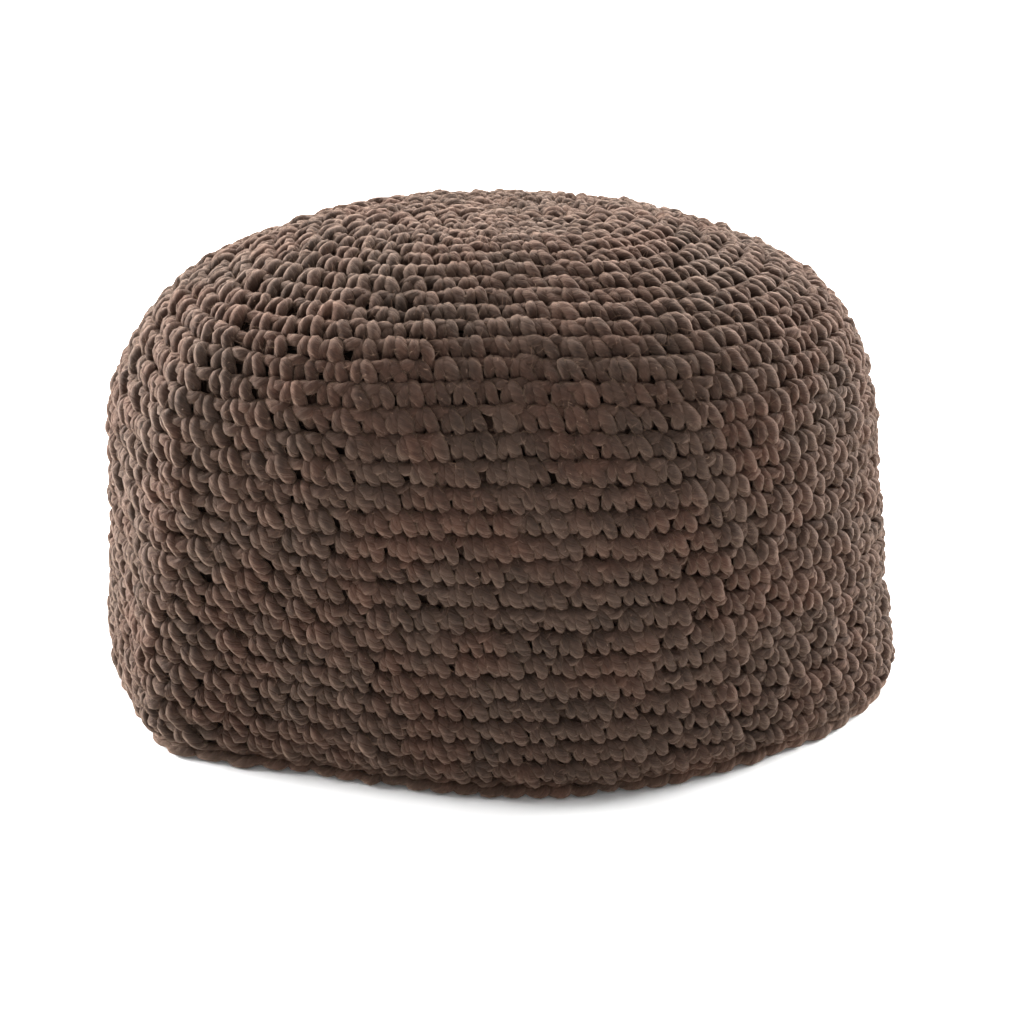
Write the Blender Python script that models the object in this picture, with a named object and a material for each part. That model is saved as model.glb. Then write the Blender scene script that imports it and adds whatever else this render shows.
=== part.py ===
# Crocheted kufi cap: one hollow fabric shell and the finishing round along its rim
import math

import bmesh
import bpy
from mathutils import Vector

MM = 0.001

# Outline of the rim seen from above: an oval, a little flatter in front (-Y) than behind
HALF_WIDTH = 95.0 * MM
FRONT_DEPTH = 77.0 * MM
BACK_DEPTH = 82.0 * MM
# Where the axis of the rounds stands, so that the origin is under the middle of the cap's box
AXIS_X = 1.19 * MM
AXIS_Y = -3.36 * MM

# The profile from rim to crown is run at this radius, then stretched to the oval
PROFILE_RADIUS = 95.0 * MM
PROFILE_STEPS = 360

# Fabric and the rounds it is worked in, counted from the rim edging to the middle of the crown
WALL = 4.6 * MM
ROUNDS = 33
RIB_HEIGHT = 1.1 * MM

# The finishing round, an octagonal cord that lies flat on its lowest side
EDGING_HEIGHT = 4.0 * MM
EDGING_WIDTH = 5.2 * MM
GAP = 0.3 * MM

# Mesh density, and the steps to each side that a surface direction is measured over
COLUMNS = 56
INNER_RINGS = 16
NORMAL_TURN = 0.02
NORMAL_STEP = 1.0 * MM
SHARP_ANGLE = math.radians(50)

# How far the fabric leans inward from upright, by share of the way from rim to crown centre
LEAN_TABLE = (
    # share, lean_deg
    (0.00, -12.0),
    (0.05, -2.5),
    (0.12, 6.0),
    (0.24, 6.5),
    (0.36, 6.5),
    (0.46, 17.5),
    (0.54, 42.0),
    (0.62, 68.0),
    (0.72, 70.5),
    (0.84, 88.5),
    (1.00, 91.0),
)

# Soft corners and flats that run up the wall: where each is, and how far it pushes the fabric
# out at the rim's size. Higher up the push shrinks with the rounds.
FOLD_SHARES = (0.00, 0.18, 0.38, 0.56, 0.72, 1.00)
FOLD_TABLE = (
    # name, angle_deg, width_deg, push_mm at each of the shares above
    ("left_side", 185.0, 18.0, (9.0, 7.0, 7.0, 2.5, 0.0, 0.0)),
    ("front_left_corner", 238.0, 16.0, (-3.5, -1.0, 1.0, 3.5, 4.5, 1.0)),
    ("front_flat", 270.0, 18.0, (-1.5, -3.0, -4.5, -7.5, -9.5, -9.0)),
    ("front_right_corner", 306.0, 18.0, (1.5, 2.0, 2.5, 2.5, 2.0, 0.0)),
    ("right_flare", 342.0, 15.0, (11.5, 6.5, 4.0, 2.5, 0.5, 0.0)),
    ("back_right_corner", 31.0, 15.0, (5.0, 5.0, 5.0, 4.0, 3.0, 2.0)),
    ("back_left_corner", 148.0, 15.0, (5.0, 5.0, 5.0, 4.0, 3.0, 2.0)),
)

# The crisp crease from the rim up the left front: its place and push at each of those shares,
# how fast the push fades to its sides, and how round its edge is
CREASE_DEG = (216.5, 215.5, 218.5, 217.5, 205.0, 213.0)
CREASE_PUSH_MM = (12.0, 10.0, 8.0, 7.5, 7.5, 3.0)
CREASE_FADE_DEG = 13.0
CREASE_ROUND_DEG = 3.0


def lean_at(share):
    # Lean of the fabric from upright, in radians
    for (share_a, lean_a), (share_b, lean_b) in zip(LEAN_TABLE, LEAN_TABLE[1:]):
        if share <= share_b:
            part = (share - share_a) / (share_b - share_a)
            return math.radians(lean_a + (lean_b - lean_a) * part)
    return math.radians(LEAN_TABLE[-1][1])


def make_profile():
    # Rows of arc length, radius and height from the rim to the middle of the crown.
    # The length is the one that just closes the crown.
    shares = [i / PROFILE_STEPS for i in range(PROFILE_STEPS + 1)]
    inward = 0.0
    upward = 0.0
    steps = [(0.0, 0.0)]
    for share_a, share_b in zip(shares, shares[1:]):
        lean = lean_at((share_a + share_b) / 2)
        inward += math.sin(lean) / PROFILE_STEPS
        upward += math.cos(lean) / PROFILE_STEPS
        steps.append((inward, upward))
    length = PROFILE_RADIUS / inward
    rows = []
    for share, (step_in, step_up) in zip(shares, steps):
        rows.append((share * length, PROFILE_RADIUS - step_in * length, step_up * length))
    return rows


PROFILE = make_profile()
ARC_LENGTH = PROFILE[-1][0]


def profile_at(arc):
    # Radius and height of the profile at an arc length from the rim
    place = min(max(arc / ARC_LENGTH, 0.0), 1.0) * PROFILE_STEPS
    index = min(int(place), PROFILE_STEPS - 1)
    part = place - index
    row_a = PROFILE[index]
    row_b = PROFILE[index + 1]
    radius = row_a[1] + (row_b[1] - row_a[1]) * part
    height = row_a[2] + (row_b[2] - row_a[2]) * part
    return max(radius, 0.0), height


def oval_radius(angle):
    # Distance from the axis to the rim's oval in the direction of the angle
    depth = FRONT_DEPTH if math.sin(angle) < 0 else BACK_DEPTH
    return 1 / math.hypot(math.cos(angle) / HALF_WIDTH, math.sin(angle) / depth)


def eased(values, share):
    # Value at a share of the height, eased between the shares of the fold table
    pairs = list(zip(FOLD_SHARES, values))
    for (share_a, value_a), (share_b, value_b) in zip(pairs, pairs[1:]):
        if share <= share_b:
            part = (share - share_a) / (share_b - share_a)
            part = part * part * (3 - 2 * part)
            return value_a + (value_b - value_a) * part
    return values[-1]


def fold_push(angle, share):
    # Sum of what the corners, flats and crease push the fabric out, or pull it in
    push = 0.0
    for _name, centre_deg, width_deg, pushes in FOLD_TABLE:
        turn = (math.degrees(angle) - centre_deg + 180.0) % 360.0 - 180.0
        push += eased(pushes, share) * MM * math.exp(-0.5 * (turn / width_deg) ** 2)
    turn = (math.degrees(angle) - eased(CREASE_DEG, share) + 180.0) % 360.0 - 180.0
    fade = (math.hypot(turn, CREASE_ROUND_DEG) - CREASE_ROUND_DEG) / CREASE_FADE_DEG
    return push + eased(CREASE_PUSH_MM, share) * MM * math.exp(-fade)


def surface_point(angle, arc):
    # Point on the outside of the fabric, without the ribs
    radius, height = profile_at(arc)
    reach = oval_radius(angle) + fold_push(angle, arc / ARC_LENGTH)
    reach *= radius / PROFILE_RADIUS
    return Vector((AXIS_X + reach * math.cos(angle), AXIS_Y + reach * math.sin(angle), height))


def surface_normal(angle, arc):
    # Outward direction of the fabric, from points a little to each side
    along = surface_point(angle + NORMAL_TURN, arc) - surface_point(angle - NORMAL_TURN, arc)
    upward = surface_point(angle, arc + NORMAL_STEP) - surface_point(angle, arc - NORMAL_STEP)
    return along.cross(upward).normalized()


def fabric_material(name, colour, roughness):
    material = bpy.data.materials.new(name)
    material.use_nodes = True
    shader = material.node_tree.nodes["Principled BSDF"]
    shader.inputs["Base Color"].default_value = (*colour, 1.0)
    shader.inputs["Roughness"].default_value = roughness
    shader.inputs["Metallic"].default_value = 0.0
    return material


def mesh_object(name, bm, material):
    mesh = bpy.data.meshes.new(name)
    bm.to_mesh(mesh)
    bm.free()
    mesh.shade_smooth()
    mesh.set_sharp_from_angle(angle=SHARP_ANGLE)
    mesh.materials.append(material)
    obj = bpy.data.objects.new(name, mesh)
    bpy.context.scene.collection.objects.link(obj)
    return obj


def ring_of(bm, points):
    return [bm.verts.new(point) for point in points]


def join_rings(bm, lower, upper):
    # Quads between two rings; they face out where the upper ring follows the lower one upward
    count = len(lower)
    for i in range(count):
        j = (i + 1) % count
        bm.faces.new((lower[i], lower[j], upper[j], upper[i]))


def close_with_point(bm, ring, centre):
    count = len(ring)
    for i in range(count):
        bm.faces.new((ring[i], ring[(i + 1) % count], centre))


def angles(arc):
    # Directions of the columns at an arc length. One column always runs along the crease.
    crease = math.radians(eased(CREASE_DEG, arc / ARC_LENGTH))
    return [crease + 2 * math.pi * i / COLUMNS for i in range(COLUMNS)]


def make_cap_body():
    # Outside: a groove and a crest for every round. Inside: a smooth wall WALL deep.
    start = EDGING_HEIGHT + GAP
    round_height = (ARC_LENGTH - start) / ROUNDS
    bm = bmesh.new()
    outer = []
    for half in range(2 * ROUNDS - 1):
        arc = start + half * round_height / 2
        rib = RIB_HEIGHT if half % 2 else 0.0
        points = [surface_point(a, arc) + surface_normal(a, arc) * rib for a in angles(arc)]
        if half == 0:
            points = [Vector((p.x, p.y, start)) for p in points]
        outer.append(ring_of(bm, points))
    inner = []
    for step in range(INNER_RINGS):
        arc = start + (ARC_LENGTH - start) * step / INNER_RINGS
        points = [surface_point(a, arc) - surface_normal(a, arc) * WALL for a in angles(arc)]
        if step == 0:
            points = [Vector((p.x, p.y, start)) for p in points]
        inner.append(ring_of(bm, points))
    top = surface_point(0, ARC_LENGTH)
    outer_centre = bm.verts.new(top)
    inner_centre = bm.verts.new(top - Vector((0, 0, WALL)))
    for lower, upper in zip(outer, outer[1:]):
        join_rings(bm, lower, upper)
    close_with_point(bm, outer[-1], outer_centre)
    for lower, upper in zip(inner, inner[1:]):
        join_rings(bm, upper, lower)
    close_with_point(bm, inner[-1][::-1], inner_centre)
    join_rings(bm, inner[0], outer[0])
    return mesh_object("cap_body", bm, fabric_material("brown_wool", (0.055, 0.034, 0.024), 0.95))


def make_rim_edging():
    # An octagonal cord that follows the rim under the middle of the wall
    half_height = EDGING_HEIGHT / 2
    half_width = EDGING_WIDTH / 2
    reach = 1 / math.cos(math.pi / 8)
    bm = bmesh.new()
    rings = []
    for corner in range(8):
        turn = math.pi / 8 + corner * math.pi / 4
        outward = half_width * reach * math.cos(turn) - half_width
        height = half_height + half_height * reach * math.sin(turn)
        points = []
        for a in angles(half_height):
            normal = surface_normal(a, half_height)
            level = Vector((normal.x, normal.y, 0)).normalized()
            edge = surface_point(a, half_height)
            points.append(Vector((edge.x, edge.y, height)) + level * outward)
        rings.append(ring_of(bm, points))
    for corner in range(8):
        join_rings(bm, rings[corner], rings[(corner + 1) % 8])
    return mesh_object("rim_edging", bm, fabric_material("brown_wool_edge", (0.075, 0.048, 0.034), 0.95))


def main():
    for old in list(bpy.data.objects):
        bpy.data.objects.remove(old, do_unlink=True)
    make_cap_body()
    make_rim_edging()


main()
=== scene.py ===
# Looks of the crocheted kufi cap: its yarn stitch by stitch, the finishing round, fuzz, light and camera
import math

import bpy
import numpy as np
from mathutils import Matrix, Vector


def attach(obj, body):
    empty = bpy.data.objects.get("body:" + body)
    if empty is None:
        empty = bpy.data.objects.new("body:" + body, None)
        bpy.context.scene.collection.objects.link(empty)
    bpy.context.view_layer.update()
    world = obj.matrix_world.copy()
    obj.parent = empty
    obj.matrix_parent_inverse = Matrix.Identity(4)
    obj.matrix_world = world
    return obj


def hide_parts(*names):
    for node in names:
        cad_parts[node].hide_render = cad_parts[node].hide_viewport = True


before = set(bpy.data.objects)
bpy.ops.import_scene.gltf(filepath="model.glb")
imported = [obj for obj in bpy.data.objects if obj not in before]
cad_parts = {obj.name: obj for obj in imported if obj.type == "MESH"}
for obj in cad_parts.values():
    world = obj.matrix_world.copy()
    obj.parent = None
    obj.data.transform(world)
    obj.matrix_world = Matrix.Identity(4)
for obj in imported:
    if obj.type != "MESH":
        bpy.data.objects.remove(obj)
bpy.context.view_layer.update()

MM = 0.001

# Outline, profile and folds of the fabric: the same values as in the cap's solids
HALF_WIDTH = 95.0 * MM
FRONT_DEPTH = 77.0 * MM
BACK_DEPTH = 82.0 * MM
AXIS_X = 1.19 * MM
AXIS_Y = -3.36 * MM
PROFILE_RADIUS = 95.0 * MM
PROFILE_STEPS = 360
ROUNDS = 33
EDGING_HEIGHT = 4.0 * MM
GAP = 0.3 * MM
NORMAL_TURN = 0.02
NORMAL_STEP = 1.0 * MM
LEAN_TABLE = (
    # share of the way from rim to crown centre, lean_deg inward from upright
    (0.00, -12.0),
    (0.05, -2.5),
    (0.12, 6.0),
    (0.24, 6.5),
    (0.36, 6.5),
    (0.46, 17.5),
    (0.54, 42.0),
    (0.62, 68.0),
    (0.72, 70.5),
    (0.84, 88.5),
    (1.00, 91.0),
)
FOLD_SHARES = (0.00, 0.18, 0.38, 0.56, 0.72, 1.00)
FOLD_TABLE = (
    # name, angle_deg, width_deg, push_mm at each of the shares above
    ("left_side", 185.0, 18.0, (9.0, 7.0, 7.0, 2.5, 0.0, 0.0)),
    ("front_left_corner", 238.0, 16.0, (-3.5, -1.0, 1.0, 3.5, 4.5, 1.0)),
    ("front_flat", 270.0, 18.0, (-1.5, -3.0, -4.5, -7.5, -9.5, -9.0)),
    ("front_right_corner", 306.0, 18.0, (1.5, 2.0, 2.5, 2.5, 2.0, 0.0)),
    ("right_flare", 342.0, 15.0, (11.5, 6.5, 4.0, 2.5, 0.5, 0.0)),
    ("back_right_corner", 31.0, 15.0, (5.0, 5.0, 5.0, 4.0, 3.0, 2.0)),
    ("back_left_corner", 148.0, 15.0, (5.0, 5.0, 5.0, 4.0, 3.0, 2.0)),
)
CREASE_DEG = (216.5, 215.5, 218.5, 217.5, 205.0, 213.0)
CREASE_PUSH_MM = (12.0, 10.0, 8.0, 7.5, 7.5, 3.0)
CREASE_FADE_DEG = 13.0
CREASE_ROUND_DEG = 3.0

# Stitches: how many go round the wall, how wide one is on the crown, and how far a round's
# stitches stand to the right of those in the round below, in stitches
WALL_STITCHES = 88
CROWN_STITCH_WIDTH = 6.1 * MM
FEWEST_STITCHES = 6
ROUND_SHIFT = 0.28

# The loop of one stitch. Its legs come out of the hole above, bend down over the round above,
# and go in again below, round the chain. Depth is from the fabric's outside, inward negative.
LOOP_TABLE = (
    # across in stitches, up in rounds, depth_mm, radius_mm, samples up to the next row
    (0.02, 1.04, -2.90, 1.00, 1),
    (-0.06, 0.97, -1.50, 1.20, 1),
    (-0.10, 0.80, -0.45, 1.35, 2),
    (-0.10, 0.50, -0.60, 1.35, 2),
    (-0.10, 0.25, -1.60, 1.20, 1),
    (-0.02, 0.08, -2.80, 1.00, 1),
    (0.40, -0.10, -3.00, 1.00, 1),
    (0.50, -0.03, -1.80, 1.15, 1),
    (0.45, 0.17, -1.00, 1.35, 2),
    (0.35, 0.45, -0.45, 1.50, 2),
    (0.21, 0.78, -0.30, 1.45, 2),
    (0.08, 0.99, -1.40, 1.20, 1),
)
# Strands that run right round, one wave for each stitch
CHAIN_TABLE = (
    # across in stitches, up in rounds, depth_mm, radius_mm, samples up to the next row
    (0.05, 0.98, -2.20, 1.10, 1),
    (0.35, 0.92, -1.30, 1.30, 1),
    (0.62, 0.82, -0.50, 1.40, 2),
    (0.85, 0.88, -1.10, 1.30, 1),
)
BACK_TABLE = (
    # across in stitches, up in rounds, depth_mm, radius_mm, samples up to the next row
    (0.00, 0.30, -3.20, 1.25, 1),
    (0.30, 0.72, -3.45, 1.25, 1),
    (0.60, 0.72, -3.40, 1.25, 1),
    (0.85, 0.25, -3.10, 1.25, 1),
)
LOOP_SIDES = 7
CHAIN_SIDES = 6
BACK_SIDES = 5

# A dark sheet in the middle of the fabric, where the strands meet: painted shade in the gaps between the strands
CORE_OUTSIDE = 2.6 * MM
CORE_INSIDE = 3.1 * MM
CORE_COLUMNS = 132
CORE_RINGS = 44

# The finishing round: three strands that run right round, heights in mm above the rim
EDGE_OUTER_TABLE = (
    # across in stitches, height_mm, depth_mm, radius_mm, samples up to the next row
    (0.00, 1.65, -1.60, 1.30, 1),
    (0.25, 1.50, -1.10, 1.45, 2),
    (0.60, 1.62, -0.85, 1.50, 2),
    (0.85, 1.90, -1.20, 1.35, 1),
)
EDGE_INNER_TABLE = (
    (0.00, 1.90, -3.60, 1.35, 1),
    (0.30, 1.60, -3.90, 1.45, 1),
    (0.60, 1.55, -3.90, 1.45, 1),
    (0.85, 1.75, -3.60, 1.35, 1),
)
EDGE_UPPER_TABLE = (
    (0.00, 3.40, -2.60, 1.10, 1),
    (0.35, 3.10, -1.90, 1.25, 1),
    (0.65, 3.20, -2.10, 1.25, 1),
)
EDGE_SIDES = 8

# Unevenness of hand work: how far a stitch and each point of it stray
STITCH_STRAY = (0.07, 0.05, 0.25)
POINT_STRAY = (0.03, 0.03, 0.18)
RADIUS_STRAY = 0.09
SEED = 7

# Fuzz: fibres that stand out of the yarn
FUZZ_COUNT = 45000
FUZZ_LENGTH = (1.0 * MM, 3.4 * MM)
FUZZ_WIDTH = 0.08 * MM

# Camera, fitted to the outline of the cap in the photograph
CAMERA_TARGET = Vector((3.89, -3.36, 35.0)) * MM
CAMERA_DISTANCE = 304.0 * MM
CAMERA_ELEVATION = math.radians(26.3)
CAMERA_LENS = 39.07

# The floor reaches past the top edge of the camera's view, in metres
FLOOR_SIZE = 60.0

random = np.random.default_rng(SEED)


def make_profile():
    # Arc length, radius and height of the profile, from the rim to the middle of the crown
    shares = np.linspace(0, 1, PROFILE_STEPS + 1)
    middles = (shares[1:] + shares[:-1]) / 2
    lean_shares, leans = zip(*LEAN_TABLE)
    lean = np.radians(np.interp(middles, lean_shares, leans))
    inward = np.concatenate(([0], np.cumsum(np.sin(lean)))) / PROFILE_STEPS
    upward = np.concatenate(([0], np.cumsum(np.cos(lean)))) / PROFILE_STEPS
    length = PROFILE_RADIUS / inward[-1]
    return shares * length, PROFILE_RADIUS - inward * length, upward * length


PROFILE_ARC, PROFILE_OUT, PROFILE_UP = make_profile()
ARC_LENGTH = PROFILE_ARC[-1]
FIRST_ROUND = EDGING_HEIGHT + GAP
ROUND_HEIGHT = (ARC_LENGTH - FIRST_ROUND) / ROUNDS


def eased(values, share):
    # Values at shares of the height, eased between the shares of the fold table
    place = np.interp(share, FOLD_SHARES, range(len(FOLD_SHARES)))
    low = np.clip(place.astype(int), 0, len(values) - 2)
    part = place - low
    part = part * part * (3 - 2 * part)
    values = np.array(values, float)
    return values[low] + (values[low + 1] - values[low]) * part


def fold_push(angle, share):
    # What the corners, flats and crease push the fabric out, or pull it in
    push = np.zeros_like(angle)
    for _name, centre_deg, width_deg, pushes in FOLD_TABLE:
        turn = (np.degrees(angle) - centre_deg + 180) % 360 - 180
        push += eased(pushes, share) * MM * np.exp(-0.5 * (turn / width_deg) ** 2)
    turn = (np.degrees(angle) - eased(CREASE_DEG, share) + 180) % 360 - 180
    fade = (np.hypot(turn, CREASE_ROUND_DEG) - CREASE_ROUND_DEG) / CREASE_FADE_DEG
    return push + eased(CREASE_PUSH_MM, share) * MM * np.exp(-fade)


def surface(angle, arc):
    # Points on the outside of the fabric
    arc = np.clip(arc, 0, ARC_LENGTH)
    radius = np.interp(arc, PROFILE_ARC, PROFILE_OUT)
    height = np.interp(arc, PROFILE_ARC, PROFILE_UP)
    depth = np.where(np.sin(angle) < 0, FRONT_DEPTH, BACK_DEPTH)
    oval = 1 / np.hypot(np.cos(angle) / HALF_WIDTH, np.sin(angle) / depth)
    reach = (oval + fold_push(angle, arc / ARC_LENGTH)) * radius / PROFILE_RADIUS
    return np.stack((AXIS_X + reach * np.cos(angle), AXIS_Y + reach * np.sin(angle), height), -1)


def unit(vectors):
    return vectors / np.maximum(np.linalg.norm(vectors, axis=-1, keepdims=True), 1e-12)


def outward(angle, arc):
    # Outward direction of the fabric. Near the middle of the crown it is straight up.
    arc = np.minimum(arc, ARC_LENGTH - 2 * NORMAL_STEP)
    along = surface(angle + NORMAL_TURN, arc) - surface(angle - NORMAL_TURN, arc)
    upward = surface(angle, arc + NORMAL_STEP) - surface(angle, arc - NORMAL_STEP)
    return unit(np.cross(along, upward))


def at_depth(angle, arc, depth):
    return surface(angle, arc) + outward(angle, arc) * depth[..., None]


def stitch_counts():
    # Stitches in each round, from the lowest round to the middle of the crown
    counts = []
    angle = np.linspace(0, 2 * math.pi, 361)
    for number in range(ROUNDS):
        arc = FIRST_ROUND + (number + 0.5) * ROUND_HEIGHT
        ring = surface(angle, np.full_like(angle, arc))
        girth = np.linalg.norm(np.diff(ring, axis=0), axis=1).sum()
        counts.append(int(np.clip(round(girth / CROWN_STITCH_WIDTH), FEWEST_STITCHES, WALL_STITCHES)))
    return counts


STITCH_COUNTS = stitch_counts()


def round_starts():
    # Angle of the first stitch of each round
    starts = [0.0]
    for count in STITCH_COUNTS[:-1]:
        starts.append(starts[-1] + ROUND_SHIFT * 2 * math.pi / count)
    return starts


ROUND_STARTS = round_starts()


def strayed(table, stitches):
    # One copy of the table's points for each stitch, each a little uneven
    points = np.array([row[:3] for row in table], float)
    radii = np.array([row[3] for row in table], float)
    whole = random.normal(0, STITCH_STRAY, (stitches, 1, 3))
    single = random.normal(0, POINT_STRAY, (stitches, len(points), 3))
    scale = 1 + random.normal(0, RADIUS_STRAY, (stitches, 1))
    return points + whole + single, radii * scale


def smooth_closed(values, counts):
    # A smooth closed curve through the values, with a number of samples after each of them
    before, after, later = (np.roll(values, shift, axis=1) for shift in (1, -1, -2))
    parts = []
    for index, count in enumerate(counts):
        a, b, c, d = (v[:, index : index + 1] for v in (before, values, after, later))
        t = (np.arange(count) / count)[None, :, None]
        parts.append(
            b + 0.5 * t * (c - a + t * (2 * a - 5 * b + 4 * c - d + t * (3 * (b - c) + d - a)))
        )
    return np.concatenate(parts, axis=1)


class Tubes:
    # Collects closed tubes and makes one mesh of them
    def __init__(self):
        self.points = []
        self.faces = []
        self.uvs = []
        self.tones = []
        self.count = 0

    def add(self, centres, radii, reference, sides, tone):
        # centres (tubes, samples, 3), radii (tubes, samples), reference (tubes, 3) across the start
        tubes, samples = centres.shape[:2]
        tangent = unit(np.roll(centres, -1, axis=1) - np.roll(centres, 1, axis=1))
        across = unit(reference - tangent[:, 0] * (reference * tangent[:, 0]).sum(-1, keepdims=True))
        frames = [across]
        for sample in list(range(1, samples)) + [0]:
            t = tangent[:, sample]
            across = unit(across - t * (across * t).sum(-1, keepdims=True))
            frames.append(across)
        side = np.cross(tangent[:, 0], frames[0])
        twist = np.arctan2((frames[-1] * side).sum(-1), (frames[-1] * frames[0]).sum(-1))
        first = np.stack(frames[:-1], axis=1)
        second = np.cross(tangent, first)
        turn = -twist[:, None, None] * (np.arange(samples) / samples)[None, :, None]
        turn = turn + (np.arange(sides) * 2 * math.pi / sides)[None, None, :]
        ring = first[:, :, None] * np.cos(turn)[..., None] + second[:, :, None] * np.sin(turn)[..., None]
        points = centres[:, :, None] + ring * radii[:, :, None, None]
        self.add_faces(points, centres, tone)
        return points, ring

    def add_faces(self, points, centres, tone):
        tubes, samples, sides = points.shape[:3]
        index = np.arange(tubes * samples * sides).reshape(tubes, samples, sides) + self.count
        next_sample = np.roll(index, -1, axis=1)
        next_side = np.roll(index, -1, axis=2)
        corner = np.roll(next_sample, -1, axis=2)
        self.faces.append(np.stack((index, next_side, corner, next_sample), -1).reshape(-1, 4))
        steps = np.linalg.norm(np.roll(centres, -1, axis=1) - centres, axis=-1) / MM
        along_end = np.cumsum(steps, axis=1)
        along_start = along_end - steps
        start = np.broadcast_to(along_start[:, :, None], index.shape)
        end = np.broadcast_to(along_end[:, :, None], index.shape)
        low = np.broadcast_to(np.arange(sides) / sides, index.shape)
        high = low + 1 / sides
        corners = ((start, low), (start, high), (end, high), (end, low))
        uv = np.stack([np.stack(pair, -1) for pair in corners], axis=-2)
        self.uvs.append(uv.reshape(-1, 2))
        self.points.append(points.reshape(-1, 3))
        self.tones.append(np.broadcast_to(tone[:, None, None], index.shape).reshape(-1))
        self.count += index.size

    def make(self, name, material):
        obj = mesh_from_arrays(name, np.concatenate(self.points), np.concatenate(self.faces), material)
        layer = obj.data.uv_layers.new(name="yarn")
        layer.data.foreach_set("uv", np.concatenate(self.uvs).astype(np.float32).ravel())
        tones = obj.data.attributes.new("tone", "FLOAT", "POINT")
        tones.data.foreach_set("value", np.concatenate(self.tones).astype(np.float32))
        return obj


def mesh_from_arrays(name, points, faces, material):
    mesh = bpy.data.meshes.new(name)
    corners = faces.shape[1]
    mesh.vertices.add(len(points))
    mesh.vertices.foreach_set("co", points.astype(np.float32).ravel())
    mesh.loops.add(faces.size)
    mesh.loops.foreach_set("vertex_index", faces.astype(np.int32).ravel())
    mesh.polygons.add(len(faces))
    mesh.polygons.foreach_set("loop_start", np.arange(len(faces), dtype=np.int32) * corners)
    mesh.polygons.foreach_set("use_smooth", np.ones(len(faces), bool))
    mesh.update(calc_edges=True)
    mesh.validate()
    mesh.materials.append(material)
    obj = bpy.data.objects.new(name, mesh)
    bpy.context.scene.collection.objects.link(obj)
    return obj


def sample_counts(table):
    return [row[4] for row in table]


def add_loops(tubes, number, tones):
    # The legs of every stitch in a round
    count = STITCH_COUNTS[number]
    local, radii = strayed(LOOP_TABLE, count)
    step = 2 * math.pi / count
    angle = ROUND_STARTS[number] + (np.arange(count)[:, None] + local[..., 0]) * step
    arc = FIRST_ROUND + (number + local[..., 1]) * ROUND_HEIGHT
    controls = at_depth(angle, arc, local[..., 2] * MM)
    counts = sample_counts(LOOP_TABLE)
    centres = smooth_closed(controls, counts)
    widths = smooth_closed(radii[..., None] * MM, counts)[..., 0]
    facing = outward(angle[:, 2], arc[:, 2])
    return tubes.add(centres, widths, facing, LOOP_SIDES, tones)


def add_ring(tubes, table, count, start, arc_of, sides, tone):
    # One strand that runs right round, with a wave for each stitch
    local, radii = strayed(table, count)
    step = 2 * math.pi / count
    angle = (start + (np.arange(count)[:, None] + local[..., 0]) * step).reshape(1, -1)
    arc = arc_of(local[..., 1]).reshape(1, -1)
    controls = at_depth(angle, arc, local[..., 2].reshape(1, -1) * MM)
    counts = sample_counts(table) * count
    centres = smooth_closed(controls, counts)
    widths = smooth_closed(radii.reshape(1, -1, 1) * MM, counts)[..., 0]
    return tubes.add(centres, widths, outward(angle[:, 0], arc[:, 0]), sides, tone)


def add_round(tubes, number, roots):
    count = STITCH_COUNTS[number]
    tones = random.normal(0, 1, count)
    start = ROUND_STARTS[number]
    roots.append(add_loops(tubes, number, tones))

    def arc_of(up):
        return FIRST_ROUND + (number + up) * ROUND_HEIGHT

    roots.append(add_ring(tubes, CHAIN_TABLE, count, start, arc_of, CHAIN_SIDES, tones[:1]))
    add_ring(tubes, BACK_TABLE, count, start, arc_of, BACK_SIDES, tones[:1])


def make_core(material):
    # A closed sheet in the middle of the fabric, coloured darker than the yarn as painted shade seen through the
    # gaps between the strands
    angle = np.arange(CORE_COLUMNS) * 2 * math.pi / CORE_COLUMNS
    shares = np.arange(CORE_RINGS) / CORE_RINGS
    arcs = FIRST_ROUND + (ARC_LENGTH - FIRST_ROUND) * shares
    points = []
    for depth in (CORE_OUTSIDE, CORE_INSIDE):
        for arc in arcs:
            arc_row = np.full_like(angle, arc)
            points.append(at_depth(angle, arc_row, np.full_like(angle, -depth)))
    top = surface(np.zeros(1), np.full(1, ARC_LENGTH))
    points.append(top - [[0, 0, CORE_OUTSIDE]])
    points.append(top - [[0, 0, CORE_INSIDE]])
    points = np.concatenate(points)
    index = np.arange(2 * CORE_RINGS * CORE_COLUMNS).reshape(2, CORE_RINGS, CORE_COLUMNS)
    following = np.roll(index, -1, axis=2)
    outer = np.stack((index[0, :-1], following[0, :-1], following[0, 1:], index[0, 1:]), -1)
    inner = np.stack((index[1, :-1], index[1, 1:], following[1, 1:], following[1, :-1]), -1)
    edge = np.stack((index[1, 0], following[1, 0], following[0, 0], index[0, 0]), -1)
    quads = np.concatenate((outer.reshape(-1, 4), inner.reshape(-1, 4), edge))
    outer_top = np.stack((index[0, -1], following[0, -1], np.full(CORE_COLUMNS, len(points) - 2)), -1)
    inner_top = np.stack((following[1, -1], index[1, -1], np.full(CORE_COLUMNS, len(points) - 1)), -1)
    triangles = np.concatenate(
        (quads[:, (0, 1, 2)], quads[:, (0, 2, 3)], outer_top, inner_top)
    )
    return mesh_from_arrays("fabric_core", points, triangles, material)


def make_edging(material, roots):
    tubes = Tubes()
    tone = np.zeros(1)
    for table in (EDGE_OUTER_TABLE, EDGE_INNER_TABLE, EDGE_UPPER_TABLE):
        roots.append(
            add_ring(tubes, table, WALL_STITCHES, ROUND_STARTS[0], lambda height: height * MM, EDGE_SIDES, tone)
        )
    return tubes.make("edging_yarn", material)


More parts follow.
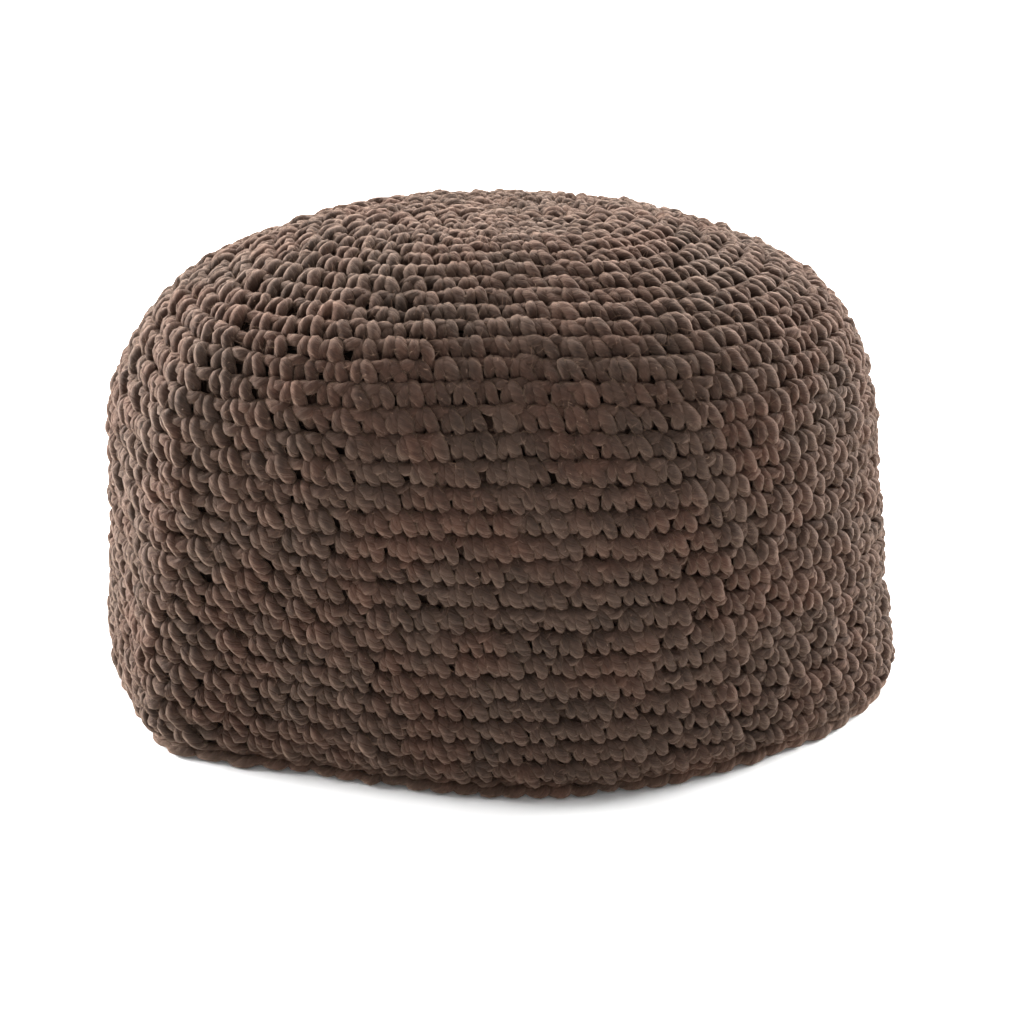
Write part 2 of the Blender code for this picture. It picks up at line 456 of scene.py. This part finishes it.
def make_fuzz(name, roots, count, material):
    # Fine fibres, each a bent ribbon of three triangles, that grow out of the strands
    points = np.concatenate([p.reshape(-1, 3) for p, _ring in roots])
    rings = np.concatenate([r.reshape(-1, 3) for _p, r in roots])
    pick = random.integers(0, len(points), count)
    root = points[pick]
    out = rings[pick]
    lean = unit(out + random.normal(0, 0.7, (count, 3)))
    bend = unit(random.normal(0, 1, (count, 3)))
    length = random.uniform(*FUZZ_LENGTH, (count, 1))
    across = unit(np.cross(lean, bend)) * FUZZ_WIDTH / 2
    middle = root + lean * length * 0.5 + bend * length * 0.12
    tip = root + lean * length * 0.9 + bend * length * 0.5
    root = root - out * FUZZ_WIDTH
    stacked = np.stack((root - across, root + across, middle + across, middle - across, tip), axis=1)
    base = (np.arange(count) * 5)[:, None]
    faces = np.concatenate((base + [0, 1, 2], base + [0, 2, 3], base + [3, 2, 4]))
    return mesh_from_arrays(name, stacked.reshape(-1, 3), faces, material)


def link(tree, output, target):
    tree.links.new(output, target)


def node(tree, kind, **settings):
    made = tree.nodes.new(kind)
    for key, value in settings.items():
        setattr(made, key, value)
    return made


def math_node(tree, operation, first, second=None):
    made = node(tree, "ShaderNodeMath", operation=operation)
    for slot, value in enumerate((first, second)):
        if value is None:
            continue
        if isinstance(value, (int, float)):
            made.inputs[slot].default_value = value
        else:
            link(tree, value, made.inputs[slot])
    return made.outputs[0]


def noise(tree, vector, scale, detail=3.0, roughness=0.6):
    made = node(tree, "ShaderNodeTexNoise")
    made.inputs["Scale"].default_value = scale
    made.inputs["Detail"].default_value = detail
    made.inputs["Roughness"].default_value = roughness
    link(tree, vector, made.inputs["Vector"])
    return made.outputs["Fac"]


def ramp(tree, factor, stops):
    made = node(tree, "ShaderNodeValToRGB")
    elements = made.color_ramp.elements
    while len(elements) < len(stops):
        elements.new(0.5)
    for element, (place, colour) in zip(elements, stops):
        element.position = place
        element.color = (*colour, 1.0)
    link(tree, factor, made.inputs["Fac"])
    return made.outputs["Color"]


def new_material(name):
    material = bpy.data.materials.new(name)
    material.use_nodes = True
    return material, material.node_tree, material.node_tree.nodes["Principled BSDF"]


def wool_material(name, dark, light, warm, sheen, plies=3, twist_mm=7.0):
    # Plied wool: helical plies, fine fibres along them, heathered colour
    material, tree, shader = new_material(name)
    uv = node(tree, "ShaderNodeUVMap", uv_map="yarn")
    split = node(tree, "ShaderNodeSeparateXYZ")
    link(tree, uv.outputs["UV"], split.inputs[0])
    along = split.outputs["X"]
    around = split.outputs["Y"]
    turns = math_node(tree, "ADD", math_node(tree, "MULTIPLY", around, float(plies)),
                      math_node(tree, "DIVIDE", along, twist_mm / plies))
    ply = math_node(tree, "ABSOLUTE", math_node(tree, "SINE", math_node(tree, "MULTIPLY", turns, math.pi)))
    streak_vector = node(tree, "ShaderNodeCombineXYZ")
    link(tree, math_node(tree, "MULTIPLY", along, 0.5), streak_vector.inputs["X"])
    link(tree, math_node(tree, "MULTIPLY", turns, 5.0), streak_vector.inputs["Y"])
    streaks = noise(tree, streak_vector.outputs[0], 1.6, 4.0, 0.7)
    place = node(tree, "ShaderNodeTexCoord").outputs["Object"]
    heather = noise(tree, place, 160.0, 4.0, 0.75)
    patches = noise(tree, place, 55.0, 2.0, 0.5)
    tone = node(tree, "ShaderNodeAttribute", attribute_name="tone")
    shade = math_node(tree, "ADD", math_node(tree, "MULTIPLY", streaks, 0.55),
                      math_node(tree, "MULTIPLY", heather, 0.45))
    shade = math_node(tree, "ADD", shade, math_node(tree, "MULTIPLY", tone.outputs["Fac"], 0.025))
    colour = ramp(tree, shade, ((0.36, dark), (0.66, light)))
    tint = ramp(tree, patches, ((0.40, (1.0, 1.0, 1.0)), (0.62, warm)))
    mix = node(tree, "ShaderNodeMix", data_type="RGBA", blend_type="MULTIPLY")
    mix.inputs["Factor"].default_value = 1.0
    link(tree, colour, mix.inputs["A"])
    link(tree, tint, mix.inputs["B"])
    link(tree, mix.outputs["Result"], shader.inputs["Base Color"])
    height = math_node(tree, "ADD", math_node(tree, "MULTIPLY", ply, 0.6),
                       math_node(tree, "MULTIPLY", streaks, 0.8))
    bump = node(tree, "ShaderNodeBump")
    bump.inputs["Strength"].default_value = 0.9
    bump.inputs["Distance"].default_value = 0.45 * MM
    link(tree, height, bump.inputs["Height"])
    link(tree, bump.outputs["Normal"], shader.inputs["Normal"])
    shader.inputs["Roughness"].default_value = 0.95
    shader.inputs["Specular IOR Level"].default_value = 0.2
    shader.inputs["Sheen Weight"].default_value = sheen
    shader.inputs["Sheen Roughness"].default_value = 0.45
    shader.inputs["Sheen Tint"].default_value = (0.62, 0.42, 0.30, 1.0)
    return material


def plain_wool_material(name, dark, light, sheen):
    # Wool colour where no single strand shows; its colours here are painted: darker for the shade of the core
    # sheet, lighter for the glow of the fuzz
    material, tree, shader = new_material(name)
    place = node(tree, "ShaderNodeTexCoord").outputs["Object"]
    colour = ramp(tree, noise(tree, place, 400.0, 4.0, 0.7), ((0.35, dark), (0.65, light)))
    link(tree, colour, shader.inputs["Base Color"])
    shader.inputs["Roughness"].default_value = 1.0
    shader.inputs["Specular IOR Level"].default_value = 0.1
    shader.inputs["Sheen Weight"].default_value = sheen
    shader.inputs["Sheen Tint"].default_value = (0.62, 0.42, 0.30, 1.0)
    return material


def dress(piece, slot, *nodes):
    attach(piece, "root")
    if nodes:
        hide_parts(*nodes)


def make_cap():
    wool = wool_material("brown_wool", (0.017, 0.010, 0.007), (0.058, 0.034, 0.024), (1.15, 0.92, 0.85), 0.35)
    # The finishing round takes a lighter copy of the brown wool: the lighter colour is painted light, standing in
    # for the floor's bounce on the rim
    edge = wool_material("brown_wool_edge", (0.030, 0.018, 0.012), (0.085, 0.050, 0.036), (1.10, 0.94, 0.88), 0.45)
    # A sheet darker than the yarn inside the fabric: painted shade in the gaps between the strands
    core = plain_wool_material("core_painted_shade", (0.010, 0.006, 0.004), (0.022, 0.013, 0.009), 0.0)
    # Fibres lighter than the yarn: painted glow of the fuzz caught by the light at the edges
    fuzz = plain_wool_material("fuzz_painted_glow", (0.06, 0.035, 0.024), (0.14, 0.085, 0.06), 0.6)
    bands = (
        ("yarn_wall_1", 0, 5),
        ("yarn_wall_2", 5, 10),
        ("yarn_wall_3", 10, 15),
        ("yarn_wall_4", 15, 20),
        ("yarn_crown", 20, ROUNDS),
    )
    roots = []
    for name, first, last in bands:
        tubes = Tubes()
        for number in range(first, last):
            add_round(tubes, number, roots)
        dress(tubes.make(name, wool), "brown_wool", "cap_body")
    dress(make_core(core), "brown_wool", "cap_body")
    dress(make_fuzz("fuzz", roots, FUZZ_COUNT, fuzz), "brown_wool")
    edge_roots = []
    dress(make_edging(edge, edge_roots), "brown_wool_edge", "rim_edging")


def make_floor():
    bpy.ops.mesh.primitive_plane_add(size=FLOOR_SIZE, location=(0, 0, 0))
    floor = bpy.context.object
    floor.name = "floor"
    material, _tree, shader = new_material("pale_floor")
    shader.inputs["Base Color"].default_value = (0.86, 0.86, 0.86, 1.0)
    shader.inputs["Roughness"].default_value = 0.9
    floor.data.materials.append(material)


def make_world():
    world = bpy.data.worlds.new("studio")
    world.use_nodes = True
    background = world.node_tree.nodes["Background"]
    background.inputs["Color"].default_value = (1.0, 1.0, 1.0, 1.0)
    background.inputs["Strength"].default_value = 0.55
    bpy.context.scene.world = world


def area_light(name, place, size, power, target=(0.0, 0.0, 0.05)):
    data = bpy.data.lights.new(name, "AREA")
    data.size = size
    data.energy = power
    light = bpy.data.objects.new(name, data)
    light.location = place
    light.rotation_euler = (Vector(target) - Vector(place)).to_track_quat("-Z", "Y").to_euler()
    bpy.context.scene.collection.objects.link(light)


def sun_light(name, direction, strength, angle_deg):
    # Even light from a direction, as soft as the angle that it fills
    data = bpy.data.lights.new(name, "SUN")
    data.energy = strength
    data.angle = math.radians(angle_deg)
    light = bpy.data.objects.new(name, data)
    light.rotation_euler = (-Vector(direction)).to_track_quat("-Z", "Y").to_euler()
    bpy.context.scene.collection.objects.link(light)


def make_lights():
    sun_light("overhead_light", (0.0, 0.27, 1.0), 2.6, 55.0)
    area_light("left_back_light", (-1.0, 0.25, 0.35), 0.6, 60.0)
    area_light("right_back_light", (1.0, 0.40, 0.40), 0.6, 45.0)
    area_light("top_back_light", (0.0, 0.9, 0.9), 0.8, 45.0)


def make_camera():
    data = bpy.data.cameras.new("camera")
    data.lens = CAMERA_LENS
    camera = bpy.data.objects.new("camera", data)
    back = Vector((0, -math.cos(CAMERA_ELEVATION), math.sin(CAMERA_ELEVATION)))
    camera.location = CAMERA_TARGET + back * CAMERA_DISTANCE
    camera.rotation_euler = (-back).to_track_quat("-Z", "Y").to_euler()
    bpy.context.scene.collection.objects.link(camera)
    bpy.context.scene.camera = camera


make_camera()
make_cap()
make_floor()
make_world()
make_lights()
bpy.context.scene.view_settings.view_transform = "Standard"

bpy.context.view_layer.update()
